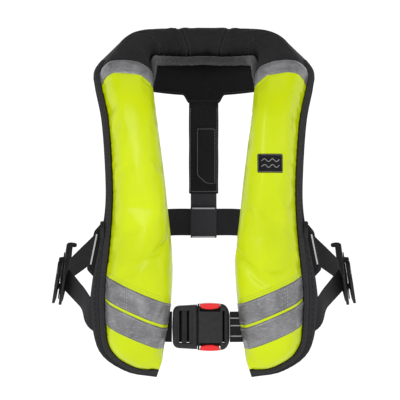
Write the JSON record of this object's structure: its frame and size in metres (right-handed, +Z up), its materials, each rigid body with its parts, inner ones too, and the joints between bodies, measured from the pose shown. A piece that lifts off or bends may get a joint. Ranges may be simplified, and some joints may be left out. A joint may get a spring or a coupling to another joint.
{
  "type": "life jacket",
  "caption": "Inflatable horseshoe life jacket with yellow lobe covers, black collar, reflective tapes, back strap and waist belt with a side-release buckle.",
  "frame": {"origin": "middle of the neck opening", "axes": "+Z up as worn, -Y to the wearer's front, +X to the wearer's left"},
  "size_m": [0.52, 0.2671, 0.5974],
  "materials": {
    "cover_fabric": "fluorescent yellow coated fabric, satin gloss",
    "collar_fabric": "black woven fabric, matt",
    "fleece": "brushed fleece",
    "panel_mesh": "black spacer mesh, matt",
    "binding_tape": "ribbed woven tape",
    "webbing": "woven webbing",
    "reflective_tape": "retroreflective tape, soft sheen",
    "badge_patch": "woven patch",
    "black_plastic": "moulded, satin",
    "red_plastic": "moulded, satin gloss",
    "bladder_fabric": "coated fabric",
    "cylinder_steel": "plated steel",
    "zip_plastic": "moulded zip teeth on tape"
  },
  "bodies": {
    "jacket": {"lobe_cover_left": "cover_fabric", "lobe_cover_right": "cover_fabric", "back_panel_left": "panel_mesh", "back_panel_right": "panel_mesh", "back_yoke": "panel_mesh", "edge_binding_left": "binding_tape", "edge_binding_right": "binding_tape", "zip_left": "zip_plastic", "zip_right": "zip_plastic", "collar_cover": "collar_fabric", "strap_sleeve": "collar_fabric", "strap_flap": "collar_fabric", "side_tab_left": "collar_fabric", "side_tab_right": "collar_fabric", "collar_liner": "fleece", "bladder": "bladder_fabric", "shoulder_tape_left": "reflective_tape", "shoulder_tape_right": "reflective_tape", "upper_tape_left": "reflective_tape", "upper_tape_right": "reflective_tape", "lower_tape_left": "reflective_tape", "lower_tape_right": "reflective_tape", "tab_bar_left": "reflective_tape", "tab_bar_right": "reflective_tape", "loop_bar_upper": "reflective_tape", "loop_bar_lower": "reflective_tape", "badge": "badge_patch", "belt_loop": "webbing", "front_belt_left": "webbing", "front_belt_right": "webbing", "back_belt": "webbing", "belt_keeper_left": "webbing", "belt_keeper_right": "webbing", "adjuster_frame_left": "black_plastic", "adjuster_frame_right": "black_plastic", "buckle_housing": "black_plastic", "inflator_head": "black_plastic", "oral_tube": "black_plastic", "whistle": "red_plastic", "gas_cylinder": "cylinder_steel"},
    "buckle_male": {"buckle_tongue": "black_plastic"},
    "release_upper": {"release_button_upper": "red_plastic"},
    "release_lower": {"release_button_lower": "red_plastic"},
    "lever_left": {"adjuster_lever_left": "black_plastic"},
    "lever_right": {"adjuster_lever_right": "black_plastic"},
    "slider_left": {"zip_slider_left": "black_plastic"},
    "slider_right": {"zip_slider_right": "black_plastic"},
    "pull_left": {"zip_pull_left": "black_plastic"},
    "pull_right": {"zip_pull_right": "black_plastic"},
    "firing_handle": {"firing_lever": "red_plastic"},
    "tube_cap": {"oral_cap": "red_plastic"}
  },
  "joints": [
    {"name": "buckle_pull", "type": "slide", "parent": "jacket", "child": "buckle_male", "axis": [-1, 0, 0], "range_m": [0, 0.042], "deforming": ["front_belt_right"]},
    {"name": "release_upper_press", "type": "slide", "parent": "jacket", "child": "release_upper", "axis": [0, 0, -1], "range_m": [0, 0.003], "stiffness_N_per_m": 600},
    {"name": "release_lower_press", "type": "slide", "parent": "jacket", "child": "release_lower", "axis": [0, 0, 1], "range_m": [0, 0.003], "stiffness_N_per_m": 600},
    {"name": "adjuster_lever_left_turn", "type": "hinge", "parent": "jacket", "child": "lever_left", "pos_m": [0.24911, 0.00199, -0.33355], "axis": [-0.2031, -0.562, 0.8018], "range_deg": [0, 35]},
    {"name": "zip_slider_left_run", "type": "slide", "parent": "jacket", "child": "slider_left", "axis": [0.0995, 0, -0.995], "range_m": [0, 0.03]},
    {"name": "zip_pull_left_turn", "type": "hinge", "parent": "slider_left", "child": "pull_left", "pos_m": [0.16466, -0.1014, -0.24765], "axis": [-1, 0, 0], "range_deg": [0, 100]},
    {"name": "adjuster_lever_right_turn", "type": "hinge", "parent": "jacket", "child": "lever_right", "pos_m": [-0.24911, 0.00199, -0.33355], "axis": [-0.2031, 0.562, -0.8018], "range_deg": [0, 35]},
    {"name": "zip_slider_right_run", "type": "slide", "parent": "jacket", "child": "slider_right", "axis": [-0.0995, 0, -0.995], "range_m": [0, 0.03]},
    {"name": "zip_pull_right_turn", "type": "hinge", "parent": "slider_right", "child": "pull_right", "pos_m": [-0.16466, -0.1014, -0.24765], "axis": [-1, 0, 0], "range_deg": [0, 100]},
    {"name": "firing_lever_turn", "type": "hinge", "parent": "jacket", "child": "firing_handle", "pos_m": [-0.09418, -0.1107, -0.42542], "axis": [-0.9994, 0, 0.0349], "range_deg": [0, 45], "stiffness_Nm_per_rad": 0.05},
    {"name": "oral_cap_pull", "type": "slide", "parent": "jacket", "child": "tube_cap", "axis": [0.057, 0, -0.9984], "range_m": [0, 0.012]}
  ]
}
